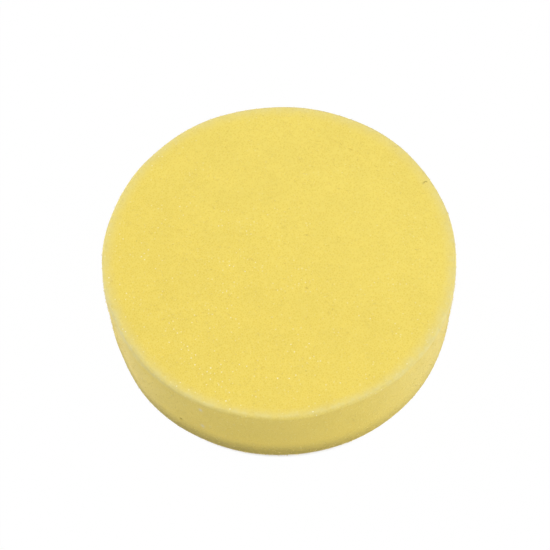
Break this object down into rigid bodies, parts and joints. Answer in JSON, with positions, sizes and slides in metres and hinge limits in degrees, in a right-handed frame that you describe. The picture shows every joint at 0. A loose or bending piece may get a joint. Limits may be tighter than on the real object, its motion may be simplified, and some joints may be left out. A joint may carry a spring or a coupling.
{
  "type": "polishing pad",
  "caption": "Round yellow open-cell foam polishing pad with a softly rounded working edge, laminated to a pale hook-and-loop backing of slightly smaller diameter.",
  "frame": {"origin": "centre of the loop face, on the surface that the pad lies on", "axes": "+Z along the pad's axis of rotation, out of the working face; the pad is round, so X and Y are any two directions across it"},
  "size_m": [0.08, 0.08, 0.025],
  "materials": {
    "foam": "matte open-cell polyurethane foam",
    "glue": "matte hot-melt adhesive film",
    "cloth": "matte warp-knitted nylon ground",
    "pile": "matte brushed nylon loops"
  },
  "bodies": {
    "root": {"foam_disc": "foam", "glue_film": "glue", "backing_cloth": "cloth", "loop_pile": "pile"}
  },
  "joints": []
}
